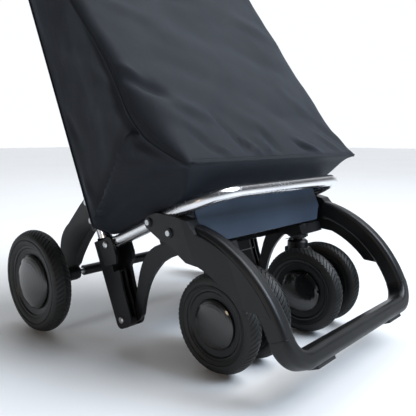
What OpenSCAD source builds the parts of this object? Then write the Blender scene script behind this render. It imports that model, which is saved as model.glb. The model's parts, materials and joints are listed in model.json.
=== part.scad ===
// Four-wheel folding shopping trolley: a two-post frame that leans back, a platform with a front
// foot bar, a carrier with two twin-wheel swivel casters, two large rear wheels and a fabric bag.
// Millimetres. +Z is up, the floor is z = 0, the front of the trolley points along -Y.

/* [Frame] */
// Backward lean of the posts from the vertical, in degrees
lean = 24; // [18:1:30]
// Half the distance between the two posts
post_x = 155; // [140:1:160]
// Outer radius of a post tube
post_r = 11; // [9:0.5:11]
// Length of a post from its foot to the handle collar
post_len = 650; // [560:10:760]
// Height of the handle's cross run above the collars
bow_rise = 285; // [200:5:340]
// Bend radius of the handle bow
bow_bend = 62; // [45:1:70]

/* [Platform] */
// Half the width of the platform tube's loop
loop_tube_x = 165; // [160:1:170]
// Outer radius of the platform tube
loop_tube_r = 9; // [7:0.5:9]
// Distance from the pivots to the platform's front run
platform_reach = 218; // [200:1:230]
// Radius of the platform tube's two bends
loop_tube_bend = 50; // [40:1:60]
// Depth of the foot bar below the platform tube
foot_drop = 217; // [200:1:225]

/* [Wheels] */
// Radius of a rear wheel
rear_r = 82.5; // [78:0.5:86]
// Half the distance between the rear wheels
rear_x = 217; // [212:1:225]
// Radius of a caster wheel
caster_r = 68; // [62:0.5:68]
// Half the distance between the two caster stems
stem_x = 100.5; // [99:0.5:104]
// Half the distance between the two wheels of a caster
twin_x = 33; // [31:0.5:34]
// Distance from a caster's stem to its axle
trail = 28; // [18:1:30]
// Angle that the right caster is turned by at rest, in degrees
right_turn = 4; // [0:1:10]

/* [Bag] */
// Half the width of the bag at its widest
bag_x = 218; // [200:1:225]
// Thickness of the bag's padded wall
bag_wall = 4; // [3:0.5:6]
// Height of the bag's rim along the posts
bag_top = 572; // [500:1:640]

/* [Hidden] */
$fn = 64;

// The rear axle's distance behind the middle of the object's footprint
axle_y = 94.3;
// Places in the leaning frame are given as v, forward of the rear axle's floor point, and w,
// upward along the posts
sides = [-1, 1];
run = 0.05;
axle_r = 5;

// Posts and handle
post_v = 156;
post_wall = 1.5;
collar_w = 40 + post_len;
bow_w = collar_w + bow_rise;
bow_r = post_r - post_wall - run;
brace_w = 556;
brace_r = 7;

// Struts, carrier and their pivots
fold_pivot = [184, 87];
arm_pivot = [157, -25];
pivot_r = 3;
strut_w = [-38, 101];
strut_v = 200;
boss_v = 167;
slot_x = [147.5, 174.2];
arm_x = [148.2, 155];
caster_y = -315;
collar_z = [124, 143];
socket_z = [149, 172];

// Rear legs and wheels
axle_v = rear_r * sin(lean);
axle_w = rear_r * cos(lean);
leg_screw_w = [133, 163];
rear_bead = 58.5;
rear_half = 15;
rear_seat = [44, 7];
caster_bead = 48;
caster_half = 13;
caster_seat = [34, 6.2];

// Platform and foot loop
platform_w = fold_pivot[1];
front_v = fold_pivot[0] + platform_reach;
foot_w = platform_w - foot_drop;
foot_bend = 32;
bar_step = 0.4;
loop_x = 160;
loop_v = 430;
sweep_r = 180;
sweep_end = 55;
root_len = 12;
sweep_c = [loop_v - sweep_r, foot_w + foot_bend];
rivet_vw = [[291, 88.5], [323.5, 63.5]];
latch_vw = [318, 56];
plate_x = [156, 171.4, 178];
taper_v = [350, 400];
panel_v = [348, 351];
panel_x = 148.9;
panel_screw = [140, 66];

// Bag and lid
bag_back = 174;
lid_gap = 0.6;
lid_t = 3;
lid_hinge_v = bag_back + 3;

// A pair of leaning coordinates as a point of a side outline
function vw(v, w) = [-v, w];
// The same place as a point of the leaning frame
function at(x, v, w) = [x, -v, w];
// Points of a right-hand outline and then their mirror images
function both(pts) = concat(pts, [for (i = [len(pts) - 1:-1:0]) [-pts[i][0], pts[i][1]]]);
// Points of an arc, its centre, radius and angles in outline coordinates
function arc(c, r, a0, a1, n) =
    [for (i = [0:n]) let (a = a0 + (a1 - a0) * i / n) [c[0] + r * cos(a), c[1] + r * sin(a)]];

// Children drawn in the leaning frame
module leaning() translate([0, axle_y, 0]) rotate([-lean, 0, 0]) children();
// Children drawn in the level frame, with the rear axle above its origin
module level() translate([0, axle_y, 0]) children();
// A side outline as a plate from x0 to x1
module side_plate(x0, x1) translate([min(x0, x1), 0, 0]) rotate([90, 0, 90])
    linear_extrude(abs(x1 - x0)) children();
// A cylinder along X from x0 to x1 through the current origin
module rod_x(r, x0, x1) translate([min(x0, x1), 0, 0]) rotate([0, 90, 0]) cylinder(r = r, h = abs(x1 - x0));
// A cylinder along v (forward) from the current origin
module rod_v(r, h) rotate([90, 0, 0]) cylinder(r = r, h = h);
// A rectangle with rounded corners, centred
module round_rect(a, b, r) union() {
    square([a - 2 * r, b], center = true);
    square([a, b - 2 * r], center = true);
    for (i = sides, j = sides) translate([i * (a / 2 - r), j * (b / 2 - r)]) circle(r);
}

/* ---- posts and handle ---- */
module upright(side) color("silver") leaning() translate(at(side * post_x, post_v, 50)) difference() {
    cylinder(r = post_r, h = post_len - 10);
    translate([0, 0, -1]) cylinder(r = post_r - post_wall, h = post_len - 8);
}
module handle_collars() color("black") leaning() for (s = sides)
    translate(at(s * post_x, post_v, collar_w)) difference() {
        union() {
            translate([0, 0, -30]) cylinder(r = post_r + 4, h = 42);
            translate([0, 0, 12]) cylinder(r1 = post_r + 4, r2 = post_r + 1, h = 5);
        }
        translate([0, 0, -31]) cylinder(r = post_r + run, h = 31);
        cylinder(r = post_r - post_wall, h = 30);
    }
module bow_half(r) {
    translate(at(post_x, post_v, collar_w - 60)) cylinder(r = r, h = bow_rise + 60 - bow_bend);
    translate(at(post_x - bow_bend, post_v, bow_w - bow_bend)) rotate([90, 0, 0])
        rotate_extrude(angle = 90) translate([bow_bend, 0]) circle(r);
    translate(at(0, post_v, bow_w)) rod_x(r, 0, post_x - bow_bend);
}
module bow_solid(r) union() {
    bow_half(r);
    mirror([1, 0, 0]) bow_half(r);
}
module handle_bow() color("silver") leaning() difference() {
    bow_solid(bow_r);
    bow_solid(bow_r - post_wall);
    for (s = sides) translate(at(s * post_x, post_v, collar_w - 61)) cylinder(r = bow_r - post_wall, h = 4);
}
module handle_grip() color("black") leaning() translate(at(0, post_v, bow_w)) difference() {
    union() {
        rod_x(16, -74, 74);
        for (s = sides) translate([s * 78, 0, 0]) rod_x(18, -4, 4);
    }
    rod_x(post_r - post_wall, -90, 90);
}
module upper_brace() color("silver") leaning() translate(at(0, post_v, brace_w))
    difference() {
        rod_x(brace_r, -post_x + post_r + 3, post_x - post_r - 3);
        rod_x(brace_r - post_wall, -post_x, post_x);
    }
module brace_clips() color("black") leaning() for (s = sides)
    translate(at(s * post_x, post_v, brace_w)) difference() {
        union() {
            translate([0, 0, -14]) cylinder(r = post_r + 3.5, h = 28);
            rod_x(brace_r + 3, 0, -s * (post_r + 20));
        }
        translate([0, 0, -15]) cylinder(r = post_r + run, h = 30);
        rod_x(brace_r + run, -s * (post_r + 2.9), -s * (post_r + 30));
    }
// Two hooks that hang the bag's rear wall on the brace
module bag_hooks() color("black") leaning() for (x = [-80, 80])
    translate(at(x, 0, brace_w)) side_plate(-9, 9) difference() {
        union() {
            translate(vw(post_v, 0)) circle(10.5);
            polygon([vw(post_v, 10.5), vw(post_v + 13.5, 10.5), vw(post_v + 13.5, -26), vw(post_v + 8, -26),
                vw(post_v + 8, 0), vw(post_v, 0)]);
        }
        translate(vw(post_v, 0)) circle(brace_r + run);
        polygon([vw(post_v - 12, -12), vw(post_v + 2, -12), vw(post_v, 0), vw(post_v - 12, -3)]);
    }

/* ---- struts: lower ends of the posts, with the two fold pivots ---- */
module strut_outline() polygon(concat(
    arc(vw(post_v - 4, strut_w[0] + 10), 10, 0, -90, 6),
    arc(vw(arm_pivot[0] + 9, strut_w[0] + 14), 14, -90, -180, 8),
    [vw(181, 20), vw(185, 48), vw(196, 56), vw(strut_v, 66)],
    arc(vw(strut_v - 8, 88.4), 8, 180, 90, 5),
    [vw(169, 96.4), vw(168, strut_w[1]), vw(post_v - 14, strut_w[1])]));
module strut(side) color([0.11, 0.11, 0.12]) leaning() difference() {
    union() {
        side_plate(side * (post_x - 13), side * (post_x + 13)) intersection() {
            strut_outline();
            translate(vw(strut_v, strut_w[0])) square([strut_v, 200]);
        }
        side_plate(side * (post_x - 12), side * (post_x + 23)) intersection() {
            strut_outline();
            polygon([vw(strut_v, 54), vw(strut_v, 120), vw(boss_v, 120), vw(boss_v, 58)]);
        }
    }
    // Slot between the cheeks, for the platform tube's end and the carrier's arm
    side_plate(side * slot_x[0], side * slot_x[1]) translate(vw(240, 46)) square([240 - 170.5, 60]);
    side_plate(side * slot_x[0], side * 155.6) polygon([vw(230, -60), vw(140, -60), vw(140, -8),
        vw(164, 12), vw(164, 47), vw(230, 47)]);
    side_plate(side * 158.5, side * (post_x + 10)) polygon([vw(240, -24), vw(150, -24), vw(150, 10),
        vw(164, 40), vw(164, 44), vw(240, 44)]);
    translate(at(side * post_x, post_v, 50)) cylinder(r = post_r + run, h = 60);
    for (p = [arm_pivot, fold_pivot]) translate(at(0, p[0], p[1]))
        rod_x(pivot_r + run, side * 130, side * 190);
}
// A bolt with a domed head outside and a nut inside
module bolt_x(side, x0, x1) {
    rod_x(pivot_r, side * x0, side * x1);
    rod_x(5, side * x1, side * (x1 + 2));
    translate([side * (x1 + 2), 0, 0]) rotate([0, side * 90, 0]) cylinder(r1 = 5, r2 = 3, h = 1.2);
    translate([side * (x0 - 4), 0, 0]) rotate([0, side * 90, 0]) cylinder(r = 6, h = 4, $fn = 6);
}
module pivot_bolts() color("lightgray") leaning() for (s = sides) {
    translate(at(0, fold_pivot[0], fold_pivot[1])) bolt_x(s, post_x - 13, post_x + 23);
    translate(at(0, arm_pivot[0], arm_pivot[1])) bolt_x(s, post_x - 13, post_x + 13);
}

/* ---- rear legs and axle ---- */
module leg_outline() polygon(concat(
    [vw(150, 127), vw(134, 125.5), vw(118, 119), vw(103, 112), vw(86, 102.5), vw(72, 94), vw(60, 85)],
    arc(vw(axle_v, axle_w), 13, -205, 20, 14),
    arc(vw(86, 92), 60, 24, 82, 10),
    [vw(100, 159.5), vw(126, 169), vw(150, 176)]));
module leg(side) color([0.1, 0.1, 0.11]) leaning() difference() {
    union() {
        side_plate(side * (post_x - 8), side * (post_x + 8)) leg_outline();
        translate(at(side * post_x, post_v, 119)) cylinder(r = post_r + 5, h = 59);
        translate(at(0, axle_v, axle_w)) rod_x(12, side * (post_x - 12), side * (post_x + 13));
    }
    translate(at(side * post_x, post_v, 110)) cylinder(r = post_r + run, h = 80);
    translate(at(0, axle_v, axle_w)) rod_x(axle_r + run, side * 120, side * 190);
    for (w = leg_screw_w) translate(at(0, post_v, w)) rod_x(2.5, side * (post_x + post_r), side * 180);
}
module leg_screws() color("lightgray") leaning() for (s = sides, w = leg_screw_w)
    translate(at(0, post_v, w)) {
        rod_x(2.45, s * (post_x + post_r + 0.5), s * (post_x + post_r + 5));
        rod_x(5, s * (post_x + post_r + 5), s * (post_x + post_r + 7.5));
    }
module rear_axle() color("silver") level() translate([0, 0, rear_r]) rod_x(axle_r, -rear_x - 14, rear_x + 14);
module axle_sleeve() color([0.1, 0.1, 0.11]) level() translate([0, 0, rear_r]) difference() {
    rod_x(8.75, -131, 131);
    rod_x(axle_r + run, -140, 140);
}
module axle_collars() color("dimgray") level() translate([0, 0, rear_r]) for (s = sides) difference() {
    union() {
        rod_x(9, s * (post_x + 13.1), s * (post_x + 20));
        rod_x(12, s * (post_x + 20), s * (rear_x - 20));
    }
    rod_x(axle_r + run, s * 150, s * 210);
}

/* ---- wheels, drawn on their own axis: +X is the outer side ---- */
module turned() rotate([0, 90, 0]) rotate_extrude($fn = 96) children();
// Outline points are [radius, distance along the axis]
module tyre(r, bead, half) color([0.09, 0.1, 0.1]) turned() polygon(concat(
    [[bead, -half + 3], [bead + 2, -half + 1]],
    [[bead + 6, -half]],
    arc([r - 9, -half + 9], 9, -90, -20, 6),
    arc([r - half * 1.6, 0], half * 1.6, -14, 14, 8),
    arc([r - 9, half - 9], 9, 20, 90, 6),
    [[bead + 6, half], [bead + 2, half - 1], [bead, half - 3]]));
// The outer face is a shallow dish that ends in a seat, of radius and place seat, for the cap
module rim(bead, hub, half, seat) color([0.13, 0.13, 0.14]) turned() polygon([
    [axle_r + run, -half - 4], [hub, -half - 4], [hub + 1, -4], [bead - 7, -3], [bead - 5, -half + 3.2],
    [bead - 0.1, -half + 3.2], [bead - 0.1, half - 3.2], [bead - 3, half - 3.2], [bead - 5, half - 5.2],
    [seat[0] + 0.5, seat[1] + 0.6], [seat[0] + 0.35, seat[1] - 0.02], [seat[0] - 4, seat[1] - 0.02],
    [seat[0] - 5, 3], [hub + 1, 3], [hub, 6], [axle_r + run, 6]]);
module cap(r, x0, dome) color([0.15, 0.15, 0.15]) turned() polygon(concat(
    [[0, x0 + dome - 3], [0, x0 + dome]],
    [for (i = [1:8]) let (a = i * 90 / 8) [r * sin(a), x0 + 2 + (dome - 2) * cos(a)]],
    [[r, x0], [r - 2.5, x0], [r - 3, x0 + 2], [r * 0.7, x0 + dome - 4.4]]));
module rear_wheel_at(side) level() translate([side * rear_x, 0, rear_r])
    rotate([0, 0, side > 0 ? 0 : 180]) children();
module rear_tyre(side) rear_wheel_at(side) tyre(rear_r, rear_bead, rear_half);
module rear_rim(side) rear_wheel_at(side) rim(rear_bead, 15, rear_half, rear_seat);
module rear_cap(side) rear_wheel_at(side) cap(rear_seat[0], rear_seat[1], 11);

/* ---- casters: wheels 1 and 2 are the left pair, 3 and 4 the right pair ---- */
module at_caster(side) level() translate([side * stem_x, caster_y + trail, 0])
    rotate([0, 0, side > 0 ? right_turn : 0]) children();
module caster_wheel_at(n) at_caster(n < 3 ? -1 : 1)
    translate([(n % 2 == 1 ? -1 : 1) * twin_x, -trail, caster_r])
        rotate([0, 0, n % 2 == 1 ? 180 : 0]) children();
module caster_tyre(n) caster_wheel_at(n) tyre(caster_r, caster_bead, caster_half);
module caster_rim(n) caster_wheel_at(n) rim(caster_bead, 12, caster_half, caster_seat);
module caster_cap(n) caster_wheel_at(n) cap(caster_seat[0], caster_seat[1], 8.5);
module caster_fork(side) color([0.12, 0.12, 0.13]) at_caster(side) difference() {
    union() {
        translate([0, 0, collar_z[0]]) cylinder(r = 17, h = collar_z[1] - collar_z[0] - 3);
        translate([0, 0, collar_z[1] - 3]) cylinder(r1 = 17, r2 = 14, h = 3);
        translate([0, 0, 130]) cylinder(r = 8, h = 50);
        side_plate(-13, 13) polygon(concat(
            arc([-trail, caster_r], 19, 170, 350, 12),
            [[14, 112], [17, 124], [17, 130], [-17, 130], [-30, 118]]));
    }
    translate([0, -trail, caster_r]) rod_x(axle_r + run, -20, 20);
}
module caster_axle(side) color("silver") at_caster(side) translate([0, -trail, caster_r])
    rod_x(axle_r, -twin_x - 9, twin_x + 9);

/* ---- carrier: a cross beam with two stem sockets and two arms to the lower pivots ---- */
module carrier_arm() polygon(concat(
    arc(vw(arm_pivot[0], arm_pivot[1]), 11, 60, -100, 10),
    [vw(180, -33), vw(191, -27), vw(202, -12), vw(209, -3.5), vw(216, 4), vw(226, 13.2), vw(238, 21.5),
        vw(252, 28.5), vw(266, 34), vw(282, 36), vw(300, 35.5), vw(320, 40), vw(329, 46), vw(326, 57)],
    // Hook round the latch pin, open forward and up
    arc(vw(latch_vw[0], latch_vw[1]), 5.4, -140, 40, 8),
    [vw(318, 65), vw(309, 65), vw(300, 58), vw(291, 56), vw(282, 57.5), vw(272, 59), vw(262, 59),
        vw(252, 57.5), vw(241, 54), vw(231, 48.5), vw(222, 41.5), vw(213, 32.5), vw(203, 20), vw(194, 8),
        vw(186, -2), vw(178, -10), vw(170, -15)]));
module beam_outline() polygon([vw(260, 66), vw(260, 48), vw(300, 33), vw(336, 17), vw(345, 17),
    vw(345, 33), vw(338, 36), vw(338, 62), vw(330, 66)]);
module caster_carrier() color([0.11, 0.11, 0.12]) difference() {
    union() {
        leaning() {
            difference() {
                side_plate(-142, 142) beam_outline();
                // Underside arch between the sockets, and a hollow behind each
                translate(at(0, 296, -8)) rotate([90, 0, 0]) cylinder(r = 52, h = 60);
                translate(at(0, 338, 40)) cube([160, 80, 44], center = true);
            }
            for (s = sides) {
                side_plate(s * arm_x[0], s * arm_x[1]) carrier_arm();
                side_plate(s * 130, s * arm_x[0]) polygon([vw(258, 56), vw(258, 42), vw(266, 40),
                    vw(298, 39), vw(298, 52), vw(274, 57)]);
            }
        }
        level() for (s = sides) translate([s * stem_x, caster_y + trail, socket_z[0]])
            cylinder(r = 17, h = socket_z[1] - socket_z[0]);
    }
    level() for (s = sides) translate([s * stem_x, caster_y + trail, 140]) cylinder(r = 11 + run, h = 36);
    level() for (s = sides) translate([s * stem_x, caster_y + trail, 176]) cylinder(r = 9, h = 30);
    leaning() translate(at(0, arm_pivot[0], arm_pivot[1])) rod_x(pivot_r + run, -170, 170);
}
module stem_bushes() color("gray") level() for (s = sides)
    translate([s * stem_x, caster_y + trail, socket_z[0] - 2]) difference() {
        union() {
            cylinder(r = 14, h = 2);
            translate([0, 0, 2]) cylinder(r = 11, h = 23);
        }
        translate([0, 0, -1]) cylinder(r = 8 + run, h = 40);
    }

/* ---- platform: bent tube, foot loop with its side plates, and front panel ---- */
module tube_half(r) {
    translate(at(loop_tube_x, fold_pivot[0] - 8, platform_w))
        rod_v(r, platform_reach + 8 - loop_tube_bend);
    translate(at(loop_tube_x - loop_tube_bend, front_v - loop_tube_bend, platform_w))
        rotate([0, 0, -90]) rotate_extrude(angle = 90) translate([loop_tube_bend, 0]) circle(r);
    translate(at(0, front_v, platform_w)) rod_x(r, -0.01, loop_tube_x - loop_tube_bend);
}
module tube_solid(r) union() {
    tube_half(r);
    mirror([1, 0, 0]) tube_half(r);
}
module platform_tube() color("gainsboro") leaning() difference() {
    tube_solid(loop_tube_r);
    tube_solid(loop_tube_r - 1.5);
    for (s = sides) translate(at(s * loop_tube_x, fold_pivot[0] - 9, platform_w))
        rod_v(loop_tube_r - 1.5, 4);
    translate(at(0, fold_pivot[0], platform_w)) rod_x(pivot_r + run, -190, 190);
}
module tube_plugs() color("dimgray") leaning() difference() {
    for (s = sides) translate(at(s * loop_tube_x, fold_pivot[0] - 8, platform_w))
        rod_v(loop_tube_r - 1.5 - run, 40);
    translate(at(0, fold_pivot[0], platform_w)) rod_x(pivot_r + run, -190, 190);
}
// Section of the foot loop, its first side lying across the trolley; the foot bar and its corners
// stand proud of the arms by the step d
module loop_section(d = 0) round_rect(22 + 2 * d, 28 + 2 * d, 7 + d);
module loop_side(s) {
    // Swept arm, whose lower end goes a little way into the corner
    translate(at(s * loop_x, sweep_c[0], sweep_c[1])) rotate([90, 0, 90]) rotate([0, 0, 180 - sweep_end])
        rotate_extrude(angle = sweep_end + 2) translate([sweep_r, 0]) rotate(90) loop_section();
    // Corner down into the foot bar
    translate(at(s * (loop_x - foot_bend), loop_v, sweep_c[1])) rotate([90, 0, 0])
        rotate([0, 0, s > 0 ? 270 : 180]) rotate_extrude(angle = 90) translate([foot_bend, 0])
            loop_section(bar_step);
    // Straight root that runs up into the side plate
    translate(at(s * loop_x, sweep_c[0] + sweep_r * cos(sweep_end), sweep_c[1] + sweep_r * sin(sweep_end)))
        rotate([-(90 - sweep_end), 0, 0]) rotate([-90, 0, 0]) linear_extrude(root_len) loop_section();
}
// Side plate that runs on down the back of the arm as a rib
module plate_outline() polygon(concat(
    arc(vw(rivet_vw[0][0], rivet_vw[0][1] - 1), 9, -50, 80, 6),
    [vw(303, 96.5), vw(311, 95.4), vw(318, 92), vw(330, 86), vw(342, 79), vw(357, 69)],
    arc(vw(sweep_c[0], sweep_c[1]), sweep_r + 6, 128, 172, 11),
    arc(vw(sweep_c[0], sweep_c[1]), sweep_r - 30, 162, 134, 7),
    [vw(336, 20), vw(328, 31), vw(322, 43), vw(302, 60)]));
module plate(s) difference() {
    union() {
        side_plate(s * plate_x[0], s * plate_x[1]) plate_outline();
        side_plate(s * plate_x[0], s * plate_x[2]) intersection() {
            plate_outline();
            translate(vw(taper_v[1], -100)) square([taper_v[1] - 200, 300]);
        }
    }
    // Slanted outer face, from the plate down to the rib
    translate(at(s * plate_x[2], taper_v[0], -150))
        rotate([0, 0, -s * atan((plate_x[2] - plate_x[1]) / (taper_v[1] - taper_v[0]))])
            translate([s > 0 ? 0 : -20, taper_v[0] - taper_v[1] - 0.5, 0])
                cube([20, taper_v[1] - taper_v[0] + 0.5, 300]);
}
module front_loop() color([0.12, 0.12, 0.13]) leaning() difference() {
    union() {
        for (s = sides) {
            loop_side(s);
            plate(s);
            for (p = rivet_vw) translate(at(0, p[0], p[1])) rod_x(6.5, s * 177, s * 180);
            // Tab that the front panel is screwed to
            translate(at(s * 141, panel_v[0] - 0.05, 58)) translate([-11, 0, 0]) cube([22, 4, 16]);
        }
        translate(at(0, loop_v, foot_w)) rotate([0, 90, 0]) rotate([0, 0, 90])
            translate([0, 0, -(loop_x - foot_bend)]) linear_extrude(2 * (loop_x - foot_bend))
                rotate(90) loop_section(bar_step);
    }
    for (s = sides) translate(at(s * loop_tube_x, 240, platform_w)) rod_v(loop_tube_r + run, 130);
    for (s = sides) translate(at(s * (loop_tube_x - loop_tube_bend), front_v - loop_tube_bend, platform_w))
        rotate([0, 0, s > 0 ? -90 : 180]) rotate_extrude(angle = 90)
            translate([loop_tube_bend, 0]) circle(loop_tube_r + run);
    for (s = sides, p = rivet_vw) translate(at(0, p[0], p[1])) rod_x(2.5, s * 170, s * 190);
    for (s = sides) translate(at(s * panel_screw[0], panel_v[0] - 6, panel_screw[1])) rod_v(2.5, 8);
    for (s = sides) translate(at(0, latch_vw[0], latch_vw[1])) rod_x(4, s * 150, s * 170);
}
module plate_rivets() color("silver") leaning() for (s = sides, p = rivet_vw)
    translate(at(0, p[0], p[1])) {
        rod_x(2.45, s * 175, s * 180);
        rod_x(3.8, s * 180, s * 181.6);
    }
module latch_pins() color("silver") leaning() for (s = sides)
    translate(at(0, latch_vw[0], latch_vw[1])) rod_x(3.95, s * 149, s * 168);
module panel_outline() polygon([for (p = [[1, 94], [1, 60], [0.86, 36], [-0.86, 36], [-1, 60], [-1, 94]])
    [p[0] * panel_x, p[1]]]);
module front_panel() color([0.27, 0.33, 0.41]) leaning() difference() {
    translate(at(0, panel_v[0], 0)) rotate([90, 0, 0]) linear_extrude(panel_v[1] - panel_v[0])
        panel_outline();
    for (s = sides) translate(at(s * panel_screw[0], panel_v[0] - 1, panel_screw[1])) rod_v(2.5, 2.8);
}
module panel_screws() color("dimgray") leaning() for (s = sides)
    translate(at(s * panel_screw[0], panel_v[0], panel_screw[1])) {
        translate([0, 4.05, 0]) rod_v(2.45, 5.7);
        translate([0, 6.05, 0]) rod_v(5, 2);
    }
module foot_pads() color([0.07, 0.07, 0.07]) leaning() for (s = sides)
    translate(at(s * 100, loop_v, foot_w - 11 - bar_step)) translate([-20, -8, -4]) cube([40, 16, 4]);

/* ---- bag and lid ---- */
// Side, front and plan outlines of the bag; t moves them inward, and they run on above the rim
function bag_front_v(w) = 308 + (bag_top - w) * 0.155;
module bag_side(t) polygon([vw(bag_back + t, bag_top + 20), vw(bag_back + t, 118 + t), vw(190 + t, 97 + t),
    vw(386 - t, 97 + t), vw(412 - t, 108 + t), vw(421 - t, 126 + t), vw(404 - t, 166), vw(380 - t, 240),
    vw(358 - t, 318), vw(bag_front_v(430) - t, 430), vw(bag_front_v(bag_top + 20) - t, bag_top + 20)]);
module bag_front(t) polygon(both([[200 - t, 97 + t], [210 - t, 130], [bag_x - t, 200],
    [bag_x - t, 330], [bag_x - 13 - t, bag_top], [bag_x - 13 - t, bag_top + 20]]));
module bag_plan(t) polygon(both([[188 - t, -bag_back - t], [bag_x - t, -270], [bag_x - t, -340],
    [204 - t, -421 + t]]));
module bag_solid(t, top) intersection() {
    side_plate(-250, 250) bag_side(t);
    rotate([90, 0, 0]) linear_extrude(500) bag_front(t);
    translate([0, 0, 50]) linear_extrude(top - 50) bag_plan(t);
}
module bag() color([0.17, 0.18, 0.21]) leaning() difference() {
    bag_solid(0, bag_top);
    bag_solid(bag_wall, bag_top + 6);
}
// Flap over the rim, with a skirt that is deeper at the front
module bag_lid() color([0.17, 0.18, 0.21]) leaning() difference() {
    bag_solid(-lid_gap - lid_t, bag_top + lid_gap + lid_t);
    bag_solid(-lid_gap, bag_top + lid_gap);
    side_plate(-250, 250) polygon([vw(lid_hinge_v, 600), vw(100, 600), vw(100, 40), vw(450, 40),
        vw(450, bag_top - 62), vw(bag_front_v(bag_top) - 12, bag_top - 62),
        vw(bag_front_v(bag_top) - 30, bag_top - 30), vw(lid_hinge_v, bag_top - 24)]);
}
// Webbing tab that the flap is lifted by
module lid_tab() color([0.1, 0.1, 0.12]) leaning() side_plate(-16, 16) polygon([for (p = [[0.2, -40],
    [0.2, -92], [2.2, -92], [2.2, -40]]) vw(bag_front_v(bag_top + p[1]) + lid_gap + lid_t + p[0],
        bag_top + p[1])]);

upright(-1);  // upright_left
upright(1);  // upright_right
handle_collars();
handle_bow();
handle_grip();
upper_brace();
brace_clips();
bag_hooks();
strut(-1);  // strut_left
strut(1);  // strut_right
pivot_bolts();
leg(-1);  // leg_left
leg(1);  // leg_right
leg_screws();
rear_axle();
axle_sleeve();
axle_collars();
bag();
bag_lid();
lid_tab();
platform_tube();
tube_plugs();
front_loop();
front_panel();
panel_screws();
plate_rivets();
latch_pins();
foot_pads();
caster_carrier();
stem_bushes();
caster_fork(-1);  // caster_fork_left
caster_fork(1);  // caster_fork_right
caster_axle(-1);  // caster_axle_left
caster_axle(1);  // caster_axle_right
rear_tyre(-1);  // rear_tyre_left
rear_rim(-1);  // rear_rim_left
rear_cap(-1);  // rear_cap_left
rear_tyre(1);  // rear_tyre_right
rear_rim(1);  // rear_rim_right
rear_cap(1);  // rear_cap_right
caster_tyre(1);  // caster_tyre_1
caster_rim(1);  // caster_rim_1
caster_cap(1);  // caster_cap_1
caster_tyre(2);  // caster_tyre_2
caster_rim(2);  // caster_rim_2
caster_cap(2);  // caster_cap_2
caster_tyre(3);  // caster_tyre_3
caster_rim(3);  // caster_rim_3
caster_cap(3);  // caster_cap_3
caster_tyre(4);  // caster_tyre_4
caster_rim(4);  // caster_rim_4
caster_cap(4);  // caster_cap_4
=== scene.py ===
"""Folding shopping trolley: materials, tyres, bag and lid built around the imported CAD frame.

Metres, +Z up, floor at z = 0, the front of the trolley towards -Y. The bag and the lid are worked out in
millimetres in the leaning frame of the posts, as (x, v, w), and at() turns them into places."""
import json
import math

import bmesh
import bpy
import numpy as np
from mathutils import Matrix, Vector, noise


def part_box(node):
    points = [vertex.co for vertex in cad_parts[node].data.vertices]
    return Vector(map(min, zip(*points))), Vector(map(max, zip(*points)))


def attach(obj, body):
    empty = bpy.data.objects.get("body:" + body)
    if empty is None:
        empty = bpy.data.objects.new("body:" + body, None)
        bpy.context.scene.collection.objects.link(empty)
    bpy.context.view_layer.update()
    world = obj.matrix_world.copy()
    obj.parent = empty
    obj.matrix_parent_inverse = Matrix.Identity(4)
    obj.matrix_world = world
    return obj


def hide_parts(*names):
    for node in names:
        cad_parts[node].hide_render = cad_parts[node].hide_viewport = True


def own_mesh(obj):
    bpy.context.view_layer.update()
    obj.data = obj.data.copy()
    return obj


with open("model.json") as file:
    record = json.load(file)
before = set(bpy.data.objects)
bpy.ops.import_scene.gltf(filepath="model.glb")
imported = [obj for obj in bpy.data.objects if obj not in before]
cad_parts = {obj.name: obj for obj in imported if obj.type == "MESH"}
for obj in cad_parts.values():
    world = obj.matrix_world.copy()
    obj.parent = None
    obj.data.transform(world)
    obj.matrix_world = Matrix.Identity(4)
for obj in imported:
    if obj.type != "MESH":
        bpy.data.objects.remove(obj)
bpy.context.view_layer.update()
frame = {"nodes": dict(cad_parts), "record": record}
NODES = frame["nodes"]

# ---- the leaning frame of the posts: v is forward of the rear axle's floor point, w runs up the posts ----
LEAN = math.radians(24)
SIN, COS = math.sin(LEAN), math.cos(LEAN)
AXLE_Y = (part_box("rear_axle")[0].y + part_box("rear_axle")[1].y) / 2


def at(x, v, w):
    """A place of the leaning frame, in millimetres, as a point in metres."""
    return Vector((x / 1000, AXLE_Y + (w * SIN - v * COS) / 1000, (w * COS + v * SIN) / 1000))


def table(x, xs, ys):
    """The value at x on the line through the points (xs, ys)."""
    return float(np.interp(x, xs, ys))


def ease(t):
    """A smooth step: 0 up to t = 0, 1 from t = 1."""
    t = min(max(t, 0.0), 1.0)
    return t * t * (3 - 2 * t)


# ---- camera, solved from the outlines of the wheels in the photograph ----
CAM_YAW, CAM_PITCH = math.radians(47.49), math.radians(7.95)
CAM_PLACE = (-0.6150, AXLE_Y - 0.7382, 0.3115)
CAM_LENS, CAM_SENSOR = 43.63, 36
camera = bpy.data.objects.new("camera", bpy.data.cameras.new("camera"))
bpy.context.scene.collection.objects.link(camera)
camera.location = CAM_PLACE
camera.rotation_euler = (math.pi / 2 - CAM_PITCH, 0, -CAM_YAW)
camera.data.sensor_width = CAM_SENSOR
camera.data.lens = CAM_LENS
camera.data.clip_start = 0.02
bpy.context.scene.camera = camera


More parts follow.
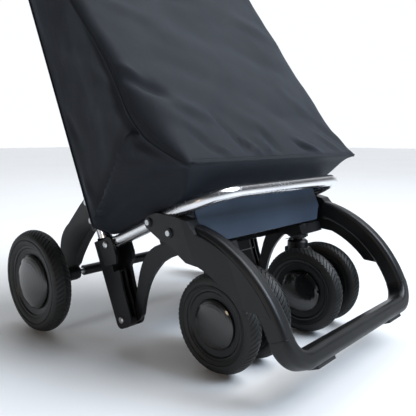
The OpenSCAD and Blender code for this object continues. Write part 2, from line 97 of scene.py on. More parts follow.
# ---- material nodes ----
class Graph:
    """A material's node tree with a principled shader, and short ways to add to it."""

    NOISE_ROUGHNESS = 0.55

    def __init__(self, name, color, roughness, metallic=0.0, **sockets):
        self.m = bpy.data.materials.new(name)
        self.m.use_nodes = True
        self.t = self.m.node_tree
        self.p = self.t.nodes["Principled BSDF"]
        self.p.inputs["Base Color"].default_value = (*color, 1)
        self.p.inputs["Roughness"].default_value = roughness
        self.p.inputs["Metallic"].default_value = metallic
        for key, value in sockets.items():
            self.p.inputs[key.replace("_", " ")].default_value = value
        self.bumps = self.coordinates = None
        self.m.diffuse_color = (*color, 1)

    def add(self, kind, links=(), **values):
        """A node, with sockets linked from (socket, source) pairs and values set by name."""
        n = self.t.nodes.new("ShaderNode" + kind)
        for key, value in values.items():
            if hasattr(n, key):
                setattr(n, key, value)
            else:
                n.inputs[key.replace("_", " ")].default_value = value
        for socket, source in links:
            self.t.links.new(source, n.inputs[socket])
        return n

    def place(self, scale=(1, 1, 1), turn=(0, 0, 0)):
        """Object coordinates, turned and then scaled."""
        if self.coordinates is None:
            self.coordinates = self.add("TexCoord").outputs["Object"]
        turned = self.add("Mapping", [("Vector", self.coordinates)], vector_type="TEXTURE")
        turned.inputs["Rotation"].default_value = turn
        m = self.add("Mapping", [("Vector", turned.outputs[0])])
        m.inputs["Scale"].default_value = scale
        return m.outputs[0]

    def noise(self, scale, detail=4.0, stretch=(1, 1, 1), turn=(0, 0, 0)):
        n = self.add("TexNoise", [("Vector", self.place(stretch, turn))],
                     Scale=scale, Detail=detail, Roughness=self.NOISE_ROUGHNESS)
        return n.outputs["Fac"]

    def ramp(self, source, low, high, a=0.0, b=1.0):
        """A socket whose range from low to high becomes a to b."""
        n = self.add("MapRange", [("Value", source)])
        for key, value in (("From Min", low), ("From Max", high), ("To Min", a), ("To Max", b)):
            n.inputs[key].default_value = value
        return n.outputs["Result"]

    def math(self, op, a, b=None):
        n = self.add("Math", operation=op)
        for i, x in enumerate((a, b)):
            if x is None:
                continue
            if isinstance(x, (int, float)):
                n.inputs[i].default_value = x
            else:
                self.t.links.new(x, n.inputs[i])
        return n.outputs[0]

    def mix(self, factor, a, b):
        """Two colours, or a socket and a colour, mixed by a factor socket."""
        n = self.add("Mix", data_type="RGBA")
        self.t.links.new(factor, n.inputs["Factor"])
        for socket, x in ((n.inputs[6], a), (n.inputs[7], b)):
            if isinstance(x, tuple):
                socket.default_value = (*x, 1)
            else:
                self.t.links.new(x, socket)
        return n.outputs[2]

    def color(self, source):
        self.t.links.new(source, self.p.inputs["Base Color"])

    def rough(self, source):
        self.t.links.new(source, self.p.inputs["Roughness"])

    def bump(self, height, distance, strength, radius=0.0):
        """Add relief on top of the relief so far; a radius on the first one rounds the edges."""
        links = [("Height", height)]
        if self.bumps is not None:
            links.append(("Normal", self.bumps))
        elif radius:
            links.append(("Normal", self.add("Bevel", samples=3, Radius=radius).outputs[0]))
        n = self.add("Bump", links, Strength=strength, Distance=distance)
        self.bumps = n.outputs[0]
        self.t.links.new(self.bumps, self.p.inputs["Normal"])


def moulded(name, color, roughness, edge=0.0011, grain=1700.0, worn=1.35):
    """Moulded plastic: fine spark grain, faint flow marks, and slightly polished high spots."""
    g = Graph(name, color, roughness)
    g.p.inputs["Specular IOR Level"].default_value = 0.36
    cloud = g.noise(9, 5)
    smear = g.noise(34, 6, stretch=(1, 1, 0.35))
    g.color(g.mix(g.ramp(cloud, 0.35, 0.7), color, tuple(c * worn + 0.002 for c in color)))
    g.rough(g.math("ADD", g.ramp(smear, 0.3, 0.7, roughness - 0.07, roughness + 0.06),
                   g.ramp(cloud, 0.3, 0.7, -0.03, 0.03)))
    g.bump(g.noise(grain, 2), 0.00012, 0.28, edge)
    g.bump(g.noise(60, 3), 0.0004, 0.12)
    return g.m


def metal(name, color, roughness, edge=0.0, scratch=0.35, cloudy=0.04):
    """Bare metal with a fine brushed grain, soft smudges and a few dull patches."""
    g = Graph(name, color, roughness, 1.0)
    grain = g.noise(420, 3)
    smudge = g.noise(16, 5)
    g.color(g.mix(g.ramp(smudge, 0.35, 0.75), color, tuple(c * 0.86 for c in color)))
    g.rough(g.math("ADD", g.ramp(grain, 0.3, 0.7, roughness - 0.05, roughness + 0.07),
                   g.ramp(smudge, 0.3, 0.75, -cloudy, cloudy * 1.6)))
    g.bump(grain, 0.00004, scratch, edge)
    return g.m


def fabric(name, color, thread=0.00052, sheen=0.32, roughness=0.72, tint=(0.35, 0.4, 0.5), faded=None):
    """Plain woven polyester: two crossed sets of threads that run with the posts and across them."""
    g = Graph(name, color, roughness, **{"Sheen_Weight": sheen, "Sheen_Roughness": 0.38})
    g.p.inputs["Sheen Tint"].default_value = (*tint, 1)
    g.p.inputs["Specular IOR Level"].default_value = 0.3
    turn = (-LEAN, 0, 0)
    k = 2 * math.pi / thread
    sep = g.add("SeparateXYZ", [("Vector", g.place((1, 1, 1), turn))]).outputs
    across = g.math("SINE", g.math("MULTIPLY", sep["X"], k))
    depth = g.math("SINE", g.math("MULTIPLY", sep["Y"], k))
    up = g.math("SINE", g.math("MULTIPLY", sep["Z"], k))
    weave = g.math("ADD", g.math("MULTIPLY", across, up), g.math("MULTIPLY", depth, up))
    slub = g.noise(900, 2, stretch=(1, 1, 0.06), turn=turn)
    cloud = g.noise(7, 5)
    dust = g.noise(75, 6)
    shade = g.math("ADD", g.ramp(cloud, 0.3, 0.75, 0.0, 0.7), g.ramp(dust, 0.52, 0.8, 0.0, 0.35))
    base = g.mix(shade, color, faded or tuple(c * 1.5 + 0.003 for c in color))
    g.color(g.mix(g.ramp(slub, 0.45, 0.8, 0.0, 0.6), base, tuple(c * 1.9 + 0.004 for c in color)))
    g.rough(g.math("ADD", g.ramp(cloud, 0.3, 0.7, roughness - 0.08, roughness + 0.06),
                   g.ramp(slub, 0.3, 0.7, -0.05, 0.05)))
    g.bump(weave, 0.00008, 0.35)
    g.bump(g.noise(190, 4), 0.00035, 0.22)
    g.bump(g.noise(26, 5, stretch=(1, 1, 0.55), turn=turn), 0.0022, 0.4)
    return g.m


def rubber(name, color, roughness, speck=1.5):
    """Rubber or foam with dusty patches and a fine pitted surface."""
    g = Graph(name, color, roughness)
    dust = g.noise(48, 7)
    fine = g.noise(900, 3)
    g.color(g.mix(g.ramp(dust, 0.45, 0.75), color, tuple(c * speck + 0.0025 for c in color)))
    g.rough(g.ramp(dust, 0.3, 0.75, roughness - 0.07, roughness + 0.1))
    g.bump(fine, 0.0001, 0.3)
    g.bump(g.noise(30, 4), 0.0006, 0.12)
    return g.m


def glossy_cap(name, color, scuffed, roughness):
    """High-gloss plastic under a clear coat, with scuffed patches."""
    g = Graph(name, color, roughness, **{"Coat_Weight": 0.5, "Coat_Roughness": 0.05})
    scuff = g.noise(26, 7)
    g.color(g.mix(g.ramp(scuff, 0.5, 0.8), color, scuffed))
    g.rough(g.ramp(scuff, 0.35, 0.8, 0.1, 0.26))
    g.bump(g.noise(40, 3), 0.0003, 0.06)
    return g.m


MATERIALS = {
    "tube": metal("aluminium_tube", (0.83, 0.83, 0.85), 0.2),
    "moulding": moulded("black_moulding", (0.0042, 0.0046, 0.0054), 0.4),
    "grip": rubber("grip_foam", (0.013, 0.013, 0.014), 0.78, 1.8),
    "panel": moulded("panel_moulding", (0.021, 0.035, 0.058), 0.46, 0.0006, 1500, 1.5),
    "steel": metal("zinc_steel", (0.62, 0.64, 0.66), 0.32, 0.0004, 0.3, 0.08),
    "tyre": rubber("tyre_rubber", (0.0052, 0.0060, 0.0060), 0.58, 1.6),
    "rim": moulded("rim_moulding", (0.0062, 0.0066, 0.0070), 0.36, 0.0006),
    "cap": glossy_cap("cap_gloss", (0.0075, 0.008, 0.008), (0.015, 0.015, 0.0145), 0.16),
    "bag_fabric": fabric("bag_polyester", (0.0022, 0.0042, 0.0092), sheen=0.17, tint=(0.34, 0.45, 0.62),
                         faded=(0.0072, 0.0088, 0.0098)),
    "webbing": fabric("webbing", (0.008, 0.0085, 0.01), 0.0016, 0.2, 0.8),
    "pad": rubber("pad_rubber", (0.012, 0.012, 0.012), 0.7),
}
SLOTS = {s["node"]: s["material_slot"] for s in frame["record"]["subparts"]}
for node, obj in NODES.items():
    obj.data.materials.clear()
    obj.data.materials.append(MATERIALS[SLOTS[node]])


# ---- mesh helpers ----
def closed_mesh(name, verts, faces):
    """A smooth mesh whose faces all look outward."""
    mesh = bpy.data.meshes.new(name)
    mesh.from_pydata([tuple(v) for v in verts], [], faces)
    mesh.validate()
    bm = bmesh.new()
    bm.from_mesh(mesh)
    bmesh.ops.recalc_face_normals(bm, faces=bm.faces)
    bm.to_mesh(mesh)
    bm.free()
    mesh.shade_smooth()
    return mesh


def new_piece(name, verts, faces, slot):
    mesh = closed_mesh(name, verts, faces)
    obj = bpy.data.objects.new(name, mesh)
    bpy.context.scene.collection.objects.link(obj)
    mesh.materials.append(MATERIALS[slot])
    return obj


def grid_faces(rows, cols, wrap_rows=False, wrap_cols=False, start=0):
    """Quads of a grid whose points are listed row by row, from point number start on."""
    out = []
    for i in range(rows if wrap_rows else rows - 1):
        for j in range(cols if wrap_cols else cols - 1):
            a, b = i % rows, (i + 1) % rows
            c, d = j % cols, (j + 1) % cols
            out.append(tuple(start + k for k in (a * cols + c, a * cols + d, b * cols + d, b * cols + c)))
    return out


def tube_along(name, points, radius, slot, sides=8, closed=False):
    """A round cord along a list of points: a closed loop, or a run with flat ends."""
    pts = [Vector(p) for p in points]
    n = len(pts)
    verts = []
    normal = None
    for i, p in enumerate(pts):
        before = pts[(i - 1) % n] if closed or i else p
        after = pts[(i + 1) % n] if closed or i < n - 1 else p
        t = (after - before).normalized()
        if normal is None:
            normal = t.orthogonal().normalized()
        normal = (normal - t * normal.dot(t)).normalized()
        side = t.cross(normal)
        for k in range(sides):
            angle = 2 * math.pi * k / sides
            verts.append(p + (normal * math.cos(angle) + side * math.sin(angle)) * radius)
    faces = grid_faces(n, sides, wrap_rows=closed, wrap_cols=True)
    if not closed:
        faces += [tuple(range(sides)), tuple(n * sides - 1 - k for k in range(sides))]
    return new_piece(name, verts, faces, slot)


# ---- tyres with chevron lugs ----
LUG_SLANT = 1.35        # how many lugs' pitches the pattern runs back from the middle to the shoulder
LUG_DEPTH = 1.25        # depth of the gaps between the lugs, in millimetres
LUG_COLUMNS = (0.0, 0.07, 0.42, 0.5)    # one lug's pitch: edge of the gap, its floor from and to, other edge
CROWN_POINTS = 21


def tyre_mesh(name, r, bead, half, lugs):
    """A tyre about the X axis, sizes in millimetres: rounded tread with slanted lugs, staggered between the
    halves, and a ring groove in each wall. half is half the width and bead the inner radius."""
    crown = []
    for i in range(CROWN_POINTS):
        a = -1 + 2 * i / (CROWN_POINTS - 1)
        crown.append((r - 0.558 * half * (1 - math.cos(1.15 * a)), 0.86 * half * a, a))
    wall = [(r - 8.2, 0.972), (r - 11.5, 1.0), (r - 13.6, 0.985), (r - 14.4, 0.9), (r - 15.3, 0.9),
            (r - 16.0, 0.965), (bead + 3.2, 0.93), (bead + 1.4, 0.86), (bead, 0.8)]
    profile = [(q, -s * half, None) for q, s in reversed(wall)] + crown
    profile += [(q, s * half, None) for q, s in wall]
    columns = len(LUG_COLUMNS) * lugs
    verts = []
    for q, x, a in profile:
        if a is None:
            slant, shift, fade = LUG_SLANT, 0.5 if x > 0 else 0.0, 0.0
        else:
            slant = LUG_SLANT * abs(a)
            shift = 0.5 * ease(abs(a) / 0.12) if a > 0 else 0.0
            fade = ease((abs(a) - 0.06) / 0.1) * (1 - 0.55 * ease((abs(a) - 0.8) / 0.2))
        for c in range(columns):
            lug, part = divmod(c, len(LUG_COLUMNS))
            t = 2 * math.pi * (lug + LUG_COLUMNS[part] + slant + shift) / lugs
            radius = (q - LUG_DEPTH * fade * (part in (1, 2))) / 1000
            verts.append((x / 1000, radius * math.cos(t), radius * math.sin(t)))
    mesh = closed_mesh(name, verts, grid_faces(len(profile), columns, wrap_rows=True, wrap_cols=True))
    mesh.set_sharp_from_angle(angle=math.radians(38))
    mesh.materials.append(MATERIALS["tyre"])
    return mesh


def middle(node):
    """The middle of a CAD piece's box."""
    low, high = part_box(node)
    return (low + high) / 2


REAR_TYRE = tyre_mesh("rear_tyre_mesh", 82.5, 58.5, 15, 66)
CASTER_TYRE = tyre_mesh("caster_tyre_mesh", 68, 48, 13, 58)
RIGHT_TURN = math.radians(4)    # the right caster stands a little round, as in the photograph
for node in ("rear_tyre_left", "rear_tyre_right", *(f"caster_tyre_{n}" for n in (1, 2, 3, 4))):
    tyre = REAR_TYRE if node.startswith("rear") else CASTER_TYRE
    obj = bpy.data.objects.new(node.replace("tyre", "tread"), tyre)
    bpy.context.scene.collection.objects.link(obj)
    turn = RIGHT_TURN if node in ("caster_tyre_3", "caster_tyre_4") else 0.0
    obj.matrix_world = Matrix.Translation(middle(node)) @ Matrix.Rotation(turn, 4, "Z")
    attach(obj, next(b for b, ns in frame["record"]["behaviour"]["bodies"].items() if node in ns))
    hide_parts(node)


# ---- bag: a lofted shell with a boxed bottom, wrapped corners and creases ----
BAG_BACK, RIM_W = 174.5, 572.0          # v of the bag's back, and w of its rim
REAR_X = 187.0                          # half the bag's width at its back
APEX_V, APEX_W = 353.0, 194.0           # top of the fold that runs down the bag's side
TOE_V, TOE_W = 419.6, 122.6             # the bottom's front edge, where that fold ends in front
HEEL_V, HEEL_W = 180.0, 115.0           # and where it ends at the back
CORNER_R, REAR_R = 27, 10               # roundings of the front and rear corners
ROWS = 84
N_FRONT, N_ARC, N_SIDE, N_REAR = 30, 9, 34, 5   # points along half the front, a corner, a side, a rear corner


def half_width(w):
    """From the middle to the corner of the front, at height w."""
    return table(w, (97, 122.6, 164.5, 202, 240, 300, 340, 405, 480, 572),
                 (198, 203.5, 213, 217, 218, 219, 222, 226.5, 223, 213))


def front_v(w):
    """How far forward the front is, at height w."""
    return table(w, (97, 122.6, 164.5, 202, 240, 277, 317, 358, 398, 430, 572),
                 (417, 419.6, 405, 391, 380.5, 370.5, 359, 347.5, 337, 330.5, 308.5))


def band(w):
    """How far the front panel wraps round its corner before the side seam."""
    if w < APEX_W:
        return 5 + 36 * (w - TOE_W) / (APEX_W - TOE_W) if w > TOE_W else 5
    return table(w, (194, 240, 280, 328, 572), (41, 28, 21, 17, 17))


def bottom_w(v):
    """Height of the bag's lower edge."""
    return table(v, (172, 178, 190, 215, 300, 386, 402, 412, 420),
                 (113, 105, 99, 97.2, 96.6, 97.4, 103, 111, 122.6))


def fold_w(v):
    """Height of the crease where the side's lower part turns in under the bag."""
    return table(v, (180, 212, 296, 352, 409, 420), (115, 127, 135, 141, 125, 123))


def side_x(v, w):
    """Distance of the bag's side from the middle, behind the seam."""
    flat = table(v, (174, 200, 262, 320, 353), (REAR_X, 193, 200, 211, 218.5))
    flat -= 3.5 * math.sin(math.pi * ease((v - 176) / 175)) * ease((w - 150) / 120)
    flat = min(flat, half_width(w) + 1.5)
    # The fold rises from the heel to the apex and falls from there to the toe
    fold = HEEL_W + (v - HEEL_V) / (APEX_V - HEEL_V) * (APEX_W - HEEL_W)
    if v > APEX_V:
        fold = APEX_W - (v - APEX_V) / (TOE_V - APEX_V) * (APEX_W - TOE_W)
    if w >= fold:
        near = 1 - ease((w - fold) / 26)
        return flat - 6.5 * near * ease((v - 185) / 40)
    # Below the fold the side is a slanted plane with a lip, and it turns in under the lower crease
    turn = fold_w(v)
    plane = 148.5 + 0.0439 * v + 0.2836 * w
    if w > turn:
        lip = 5.5 * (1 - ease((fold - w) / 16)) * ease((v - 185) / 40)
        puff = 4.0 * math.sin(math.pi * ease((w - turn) / max(fold - turn, 1)))
        return plane + lip + puff
    k = ease((turn - w) / max(turn - bottom_w(v), 1))
    return plane - 6 * ease((turn - w) / 5) - 15 * k + 2.5 * math.sin(math.pi * k)


# Creases of the front, each from (x, w) to (x, w), then its height and width in millimetres
FRONT_CREASES = [
    ((-214, 268), (-168, 221), -6.5, 13), ((-216, 276), (-188, 246), 5.2, 9),
    ((-188, 229), (-120, 196), 3.4, 15), ((-200, 214), (-150, 168), 2.2, 16),
    ((-132, 146), (-122, 127), 2.4, 5), ((-168, 176), (-140, 130), -1.8, 8),
    ((-104, 196), (-76, 128), -2.4, 6), ((-80, 158), (-60, 126), 2.6, 6), ((-30, 176), (-6, 126), -2.2, 8),
    ((-48, 160), (-34, 126), 2.2, 6), ((-79, 142), (-72, 126), 1.8, 5), ((-96, 160), (-86, 128), -1.6, 7),
    ((52, 154), (100, 128), 2.6, 6), ((40, 150), (80, 127), -2.0, 7), ((128, 170), (168, 128), 2.0, 9),
    ((150, 196), (196, 140), -1.6, 12), ((-60, 210), (-10, 168), 1.8, 20), ((10, 236), (70, 186), -1.6, 22),
    ((96, 262), (150, 204), 1.6, 20), ((-150, 300), (-60, 262), -1.8, 24),
    ((-120, 352), (-20, 322), 1.6, 26), ((60, 340), (150, 300), -1.6, 26),
    ((-200, 402), (-120, 372), 1.7, 18), ((-90, 452), (30, 436), -1.5, 24),
    ((90, 430), (190, 396), 1.7, 20), ((-180, 500), (-90, 476), 1.6, 20), ((20, 520), (130, 502), -1.4, 20),
]
# Creases of the side, each from (v, w) to (v, w), then its height and width
SIDE_CREASES = [
    ((345, 262), (300, 300), -1.8, 12), ((338, 228), (286, 246), 1.6, 12), ((352, 196), (300, 172), 1.6, 8),
    ((300, 330), (236, 372), 1.5, 18), ((210, 240), (190, 300), -1.6, 14),
    ((330, 400), (270, 430), -1.4, 18), ((208, 150), (186, 200), 1.4, 10),
    ((240, 470), (200, 520), 1.3, 18), ((404, 131), (362, 158), 2.0, 5), ((396, 128), (340, 139), -2.4, 5),
    ((372, 150), (330, 163), -1.8, 6), ((300, 128), (250, 122), 1.4, 7), ((360, 112), (320, 101), 1.6, 6),
]


CREASE_GAIN = 2.1       # how much stronger the creases are made than the lists say
CREASE_TAIL = 0.15      # how far a crease runs on past its ends, as a share of its length


def crease(px, py, creases):
    """Sum of the creases' heights at a place of a panel."""
    total = 0.0
    for (ax, ay), (bx, by), height, width in creases:
        dx, dy = bx - ax, by - ay
        t = ((px - ax) * dx + (py - ay) * dy) / (dx * dx + dy * dy)
        t = min(max(t, -CREASE_TAIL), 1 + CREASE_TAIL)
        d = math.hypot(px - ax - t * dx, py - ay - t * dy) / width
        if d < 2.2:
            along = min(max((t + CREASE_TAIL) / (1 + 2 * CREASE_TAIL), 0.02), 0.98)
            total += CREASE_GAIN * height * math.exp(-d * d * 1.6) * math.sin(math.pi * along) ** 0.7
    return total


def billow(x, v, w, seed):
    """Large and small soft waves of the fabric, in millimetres."""
    p = Vector((x / 95 + seed, v / 95, w / 105))
    q = Vector((x / 38 + seed, v / 38 + 3, w / 44))
    return 4.2 * noise.noise(p) + 1.6 * noise.noise(q)


def bag_ring(t, side):
    """Points of one half of a ring, from the middle of the front round to the middle of the back. t is 0 at
    the lower edge and 1 at the rim; side is -1 or 1."""
    pts = []
    w_front = TOE_W + t * (RIM_W - TOE_W)
    soft = ease(t / 0.04) * (1 - 0.85 * ease((t - 0.72) / 0.2))     # folds fade out at the hem and the rim

    def height(v):
        return bottom_w(v) + t * (RIM_W - bottom_w(v))

    def front_relief(x):
        return crease(side * x, w_front, FRONT_CREASES) + billow(side * x, vf, w_front, 4)

    hx, vf = half_width(w_front), front_v(w_front)
    arc = min(band(w_front) * 0.82, CORNER_R)
    for i in range(N_FRONT):
        x = (hx - arc) * i / N_FRONT
        bulge = 3.2 * (1 - (x / hx) ** 2) * ease((w_front - 128) / 90)
        pts.append((side * x, vf + bulge + front_relief(x) * soft, w_front))
    for i in range(N_ARC):
        k = i / (N_ARC - 1)
        a = math.pi / 2 * k
        x, v = hx - arc + arc * math.sin(a), vf - arc + arc * math.cos(a)
        d = front_relief(x) * soft * math.cos(a)
        pull = 0.48 * math.sin(a) * math.sin(a) * ease((w_front - 150) / 50)
        w = w_front + (height(v) - w_front) * ease(k) * 0.25
        pts.append((side * (x + 1.2 * math.sin(a)), v + d - pull, w))
    x0, v0, w0 = abs(pts[-1][0]), pts[-1][1], pts[-1][2]
    for i in range(1, N_SIDE + 1):
        k = i / N_SIDE
        v = v0 + (BAG_BACK + REAR_R - v0) * k
        w = w0 + (height(v) - w0) * ease(k * 3.2)
        x = x0 + (side_x(v, w) - x0) * ease((v0 - v) / 9)
        dip = 6.0 * math.exp(-(((v0 - v) - 8) / 6) ** 2) * ease((w - 124) / 16)     # behind the side seam
        relief = crease(v, w, SIDE_CREASES) + 0.8 * billow(side * x, v, w, 11)
        pts.append((side * (x - dip + relief * soft * ease(k * 7) * ease((1 - k) * 9)), v, w))
    x1 = abs(pts[-1][0])
    for i in range(1, N_REAR + 1):
        a = math.pi / 2 * i / N_REAR
        v = BAG_BACK + REAR_R - REAR_R * math.sin(a)
        pts.append((side * (x1 - REAR_R + REAR_R * math.cos(a)), v, height(v)))
    for i in range(1, N_FRONT + 1):
        x = (x1 - REAR_R) * (1 - i / N_FRONT)
        dent = -0.8 * billow(side * x, 170, height(BAG_BACK), 23) * soft
        pts.append((side * x, BAG_BACK + max(dent, -1.2) * 0.6, height(BAG_BACK)))
    return pts


def full_ring(t):
    """A whole ring: back middle, right side, front middle, left side, and back to the start."""
    return bag_ring(t, 1)[::-1][:-1] + bag_ring(t, -1)[:-1]


def bag_sag(x, v):
    """How far the bottom hangs down between the tubes that it rests on."""
    if abs(x) < 152 and 225 < v < 385:
        return 5.0 * ease((152 - abs(x)) / 50) * ease((v - 225) / 45) * ease((385 - v) / 40)
    return 0.0


def bag_surface():
    """Points and faces of the bag's outer skin: rings from the lower edge to the rim, and a bottom."""
    pts = []
    for i in range(ROWS + 1):
        u = i / ROWS
        pts += full_ring(0.55 * u + 0.45 * u * u)
    n = len(pts) // (ROWS + 1)
    faces = grid_faces(ROWS + 1, n, wrap_cols=True)
    # The bottom's rows run across, from the right side to the left, between the first ring's rear corners and
    # its front ones; the ring's point number m is the middle of the front
    m = n // 2
    rows = [(r, 2 * m - r) for r in range(N_FRONT, m - N_FRONT + 1)]
    cols = 2 * N_FRONT
    index = {}
    for k, (a, b) in enumerate(rows):
        for j in range(cols + 1):
            if j == 0:
                index[k, j] = a
            elif j == cols:
                index[k, j] = b
            elif k == 0:
                index[k, j] = (a - j) % n
            elif k == len(rows) - 1:
                index[k, j] = a + j
            else:
                index[k, j] = len(pts)
                x = pts[a][0] + (pts[b][0] - pts[a][0]) * j / cols
                pts.append((x, pts[a][1], pts[a][2] - bag_sag(x, pts[a][1])))
    for k in range(len(rows) - 1):
        for j in range(cols):
            faces.append((index[k, j], index[k, j + 1], index[k + 1, j + 1], index[k + 1, j]))
    return pts, faces


def thicken(obj, thickness):
    """Give a sheet its thickness, inward from its outer skin."""
    mod = obj.modifiers.new("thickness", "SOLIDIFY")
    mod.thickness, mod.offset, mod.use_even_offset = thickness, -1, False
    bpy.context.view_layer.update()
    mesh = bpy.data.meshes.new_from_object(obj.evaluated_get(bpy.context.evaluated_depsgraph_get()))
    obj.modifiers.clear()
    obj.data = mesh


bag_points, bag_faces = bag_surface()
bag = new_piece("bag_shell", [at(*p) for p in bag_points], bag_faces, "bag_fabric")
thicken(bag, 0.0022)


def hang(obj):
    """Make a piece part of the bag: it rides the frame, with its own copy of the mesh."""
    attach(obj, "frame")
    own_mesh(obj)


def pushed(points, lift, centre=(0, 270)):
    """Points of the leaning frame, moved away from the bag's middle by lift and turned into places."""
    out = []
    for x, v, w in points:
        away = Vector((x - centre[0], v - centre[1], 0)).normalized()
        out.append(at(x + away.x * lift, v + away.y * lift, w))
    return out


def stitches(name, points, slot, pitch=0.0046, length=0.0029, radius=0.00042):
    """A row of short raised threads along a path of places, sizes in metres."""
    verts, faces = [], []
    spent, target = 0.0, pitch / 2
    for a, b in zip(points, points[1:]):
        step = (b - a).length
        while step > 1e-9 and spent + step >= target:
            t = (b - a) / step
            mid = a + t * (target - spent)
            n = t.orthogonal().normalized()
            m = t.cross(n)
            base = len(verts)
            for end, r in ((-0.5, 0.45), (-0.3, 1), (0.3, 1), (0.5, 0.45)):
                for k in range(6):
                    angle = 2 * math.pi * k / 6
                    out = n * math.cos(angle) + m * math.sin(angle)
                    verts.append(mid + t * length * end + out * radius * r)
            faces += grid_faces(4, 6, wrap_cols=True, start=base)
            faces += [tuple(base + k for k in range(6)), tuple(base + 23 - k for k in range(6))]
            target += pitch
        spent += step
    return new_piece(name, verts, faces, slot)


def front_row(t):
    """The front's points at height t, from the right corner to the left one."""
    return bag_ring(t, 1)[N_FRONT:0:-1] + bag_ring(t, -1)[:N_FRONT + 1]


SEAM = N_FRONT + N_ARC - 1      # a half ring's point on the side seam
trim = []
for side, name in ((-1, "left"), (1, "right")):
    halves = [bag_ring(i / 60, side) for i in range(61)]
    seam, beside, rear = ([half[k] for half in halves] for k in (SEAM, SEAM - 2, SEAM + N_SIDE + 1))
    trim.append(tube_along(f"side_seam_{name}", pushed(seam, 0.2), 0.0010, "bag_fabric", 6))
    trim.append(stitches(f"seam_stitch_{name}", pushed(beside, 0.25), "bag_fabric"))
    trim.append(tube_along(f"rear_piping_{name}", pushed(rear, 0.6), 0.0015, "bag_fabric", 6))
trim.append(tube_along("front_bottom_seam", pushed(front_row(0), 0.3), 0.0012, "bag_fabric", 6))
trim.append(stitches("front_bottom_stitch", pushed(front_row(0.012), 0.25), "bag_fabric"))
trim.append(tube_along("rim_binding", pushed(full_ring(1.0), -1.0), 0.0021, "webbing", closed=True))
hang(bag)
for piece in trim:
    hang(piece)
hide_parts("bag")

# ---- lid: a crowned flap whose skirt is deeper at the front ----
LID_LIFT, LID_RISE, LID_CROWN = 3.4, 4.0, 5.5   # out from the bag, up from its rim, extra in the middle
HINGE_V = 179.8                 # nothing of the lid is further back than its hinge
TOP_RINGS, SKIRT_RINGS = 13, 9
HEM_START = SEAM + 4            # ring points from the middle of the back to the hem's first stitch
rim = full_ring(1.0)
MID_V = (BAG_BACK + front_v(RIM_W)) / 2


def skirt_depth(v):
    return table(v, (177, 182, 200, 240, 285, 300, 308, 320), (0.6, 3, 9, 20, 24, 32, 39, 41))


def lid_point(i, ring):
    """The rim's point i on a lid ring: rings up to TOP_RINGS lie on the top, from its middle out, and the
    others go down the skirt."""
    x, v, w = rim[i]
    away = Vector((x, (v - MID_V) * 1.6, 0)).normalized()
    if ring <= TOP_RINGS:
        k = (ring / TOP_RINGS) ** 0.8
        px, pv = x * k, MID_V + (v - MID_V) * k
        fall = ease((k - 0.93) / 0.07)
        wave = 1.5 * noise.noise(Vector((px / 60, pv / 45, 9)))
        wave += 0.7 * noise.noise(Vector((px / 22, pv / 26, 2)))
        out = LID_LIFT * ease((k - 0.8) / 0.2)
        top = RIM_W + LID_RISE + LID_CROWN * (1 - k ** 2.6) - 2.2 * fall + wave * (1 - fall)
        return px + away.x * out, max(pv + away.y * out, HINGE_V), top
    f = (ring - TOP_RINGS) / SKIRT_RINGS
    low = RIM_W + 1.8 - f * skirt_depth(v)
    widen = half_width(low) / half_width(RIM_W)
    forward = (front_v(low) - front_v(RIM_W)) * ease((v - 240) / 60)
    wave = (1.3 * noise.noise(Vector((x / 30, v / 30, low / 60))) + 0.7) * f
    out = LID_LIFT + 6.5 * f + wave
    return x * widen + away.x * out, max(v + forward + away.y * out, HINGE_V), low


lid_rings = [[lid_point(i, r) for i in range(len(rim))] for r in range(1, TOP_RINGS + SKIRT_RINGS + 1)]
lid_points = [(0, MID_V, RIM_W + LID_RISE + LID_CROWN)]
for ring in lid_rings:
    lid_points += ring
lid_faces = [(0, 1 + i, 1 + (i + 1) % len(rim)) for i in range(len(rim))]
lid_faces += grid_faces(len(lid_rings), len(rim), wrap_cols=True, start=1)
lid = new_piece("lid_flap", [at(*p) for p in lid_points], lid_faces, "bag_fabric")
thicken(lid, 0.0018)
hem = lid_rings[-2][HEM_START:-HEM_START]
lid_trim = [tube_along("lid_binding", [at(*p) for p in lid_rings[-1]], 0.0018, "webbing", closed=True),
            stitches("lid_hem_stitch", pushed(hem, 0.3, (0, MID_V)), "webbing"),
            stitches("lid_edge_stitch", [at(x, v, w + 0.6) for x, v, w in lid_rings[11]], "webbing")]


def strip(name, path, width, thick, slot):
    """A flat band along a path in the leaning frame's v-w plane, centred on x = 0, with soft edges."""
    verts = []
    for k, (v, w) in enumerate(path):
        a, b = path[max(k - 1, 0)], path[min(k + 1, len(path) - 1)]
        t = Vector((b[0] - a[0], b[1] - a[1])).normalized()
        for x, d in ((-1, 0), (-0.94, 0.5), (0.94, 0.5), (1, 0), (0.94, -0.5), (-0.94, -0.5)):
            verts.append(at(x * width / 2, v - t.y * d * thick, w + t.x * d * thick))
    faces = grid_faces(len(path), 6, wrap_cols=True)
    faces += [tuple(range(6)), tuple(len(path) * 6 - 1 - k for k in range(6))]
    return new_piece(name, verts, faces, slot)


def tab_point(below_rim, lift):
    """A place (v, w) in front of the lid's skirt, in the middle."""
    w = RIM_W - below_rim
    return front_v(w) + LID_LIFT + lift, w


# The pull tab hangs down from the skirt, turns back on itself and is sewn to its own front
tab_path = [tab_point(34 + 5.4 * k, 8.6 + 1.2 * math.sin(k * 0.35)) for k in range(11)]
tab_path += [(tab_point(92, 10.8)[0], RIM_W - 91.6), tab_point(90, 12.2)]
tab_path += [tab_point(86 - 5 * k, 11.7 - 0.1 * k) for k in range(9)]
tab = strip("pull_tab", tab_path, 32, 1.3, "webbing")
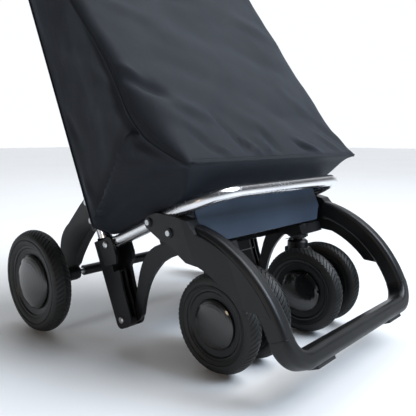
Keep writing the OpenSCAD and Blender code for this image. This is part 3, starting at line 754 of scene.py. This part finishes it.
# A box with one diagonal, as (x, millimetres below the rim)
stitch_corners = [(-11, 41), (11, 41), (11, 52), (-11, 52), (-11, 41), (11, 52)]
stitch_path = []
for (xa, da), (xb, db) in zip(stitch_corners, stitch_corners[1:]):
    for k in range(7):
        v, w = tab_point(da + (db - da) * k / 6, 12.5)
        stitch_path.append(at(xa + (xb - xa) * k / 6, v, w))
tab_stitch = stitches("tab_stitch", stitch_path, "bag_fabric", 0.003, 0.002, 0.0004)
for piece in (lid, tab, tab_stitch, *lid_trim):
    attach(piece, "lid")
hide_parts("bag_lid")
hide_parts("lid_tab")

# ---- floor, lights, world ----
floor = bpy.data.objects.new("floor", bpy.data.meshes.new("floor"))
bpy.context.scene.collection.objects.link(floor)
floor.data.from_pydata([(-14, -14, 0), (14, -14, 0), (14, 14, 0), (-14, 14, 0)], [], [(0, 1, 2, 3)])
ground = Graph("pale_floor", (0.84, 0.845, 0.85), 0.55)
patches = ground.ramp(ground.noise(1.2, 3), 0.3, 0.7)
ground.color(ground.mix(patches, (0.83, 0.835, 0.84), (0.86, 0.862, 0.865)))
floor.data.materials.append(ground.m)


def area_light(name, place, aim, size, watts, color):
    """A round soft light at a place, aimed at a point; the size is its diameter."""
    data = bpy.data.lights.new(name, "AREA")
    data.shape, data.size, data.energy, data.color = "DISK", size, watts, color
    obj = bpy.data.objects.new(name, data)
    bpy.context.scene.collection.objects.link(obj)
    obj.location = place
    obj.rotation_euler = (Vector(aim) - Vector(place)).to_track_quat("-Z", "Y").to_euler()


area_light("window", (0.9, -2.3, 2.0), (0, -0.1, 0.35), 1.1, 44, (0.68, 0.82, 1.0))
area_light("sky", (0.7, 0.5, 2.9), (0, 0, 0.3), 2.0, 26, (0.86, 0.93, 1.0))
area_light("lamp", (-2.4, -0.5, 0.9), (0, 0, 0.4), 0.5, 5, (1.0, 0.8, 0.6))
sun = bpy.data.objects.new("overhead", bpy.data.lights.new("overhead", "SUN"))
sun.data.energy, sun.data.angle, sun.data.color = 2.7, math.radians(40), (0.93, 0.96, 1.0)
sun.rotation_euler = (math.radians(24), math.radians(22), 0)
bpy.context.scene.collection.objects.link(sun)

# The surroundings are bright behind the trolley, as the photograph's camera sees it, and dim elsewhere, with
# a pale band all round the horizon
world = bpy.data.worlds.new("studio")
bpy.context.scene.world = world
world.use_nodes = True
tree = world.node_tree
background = tree.nodes["Background"]
direction = tree.nodes.new("ShaderNodeTexCoord").outputs["Generated"]


def world_range(source, low, high, a, b):
    """A socket whose range from low to high becomes a to b, with soft ends."""
    n = tree.nodes.new("ShaderNodeMapRange")
    n.interpolation_type = "SMOOTHSTEP"
    for key, value in (("From Min", low), ("From Max", high), ("To Min", a), ("To Max", b)):
        n.inputs[key].default_value = value
    tree.links.new(source, n.inputs["Value"])
    return n.outputs["Result"]


toward = tree.nodes.new("ShaderNodeVectorMath")
toward.operation = "DOT_PRODUCT"
toward.inputs[1].default_value = (0.72, 0.69, -0.06)
tree.links.new(direction, toward.inputs[0])
height = tree.nodes.new("ShaderNodeSeparateXYZ")
tree.links.new(direction, height.inputs[0])
brighter = tree.nodes.new("ShaderNodeMath")
brighter.operation = "MAXIMUM"
tree.links.new(world_range(toward.outputs["Value"], 0.3, 0.85, 0.08, 1.05), brighter.inputs[0])
tree.links.new(world_range(height.outputs["Z"], 0.1, 0.26, 0.6, 0.0), brighter.inputs[1])
background.inputs["Color"].default_value = (0.95, 0.97, 1.0, 1)
tree.links.new(brighter.outputs[0], background.inputs["Strength"])
bpy.context.scene.view_settings.view_transform = "Standard"
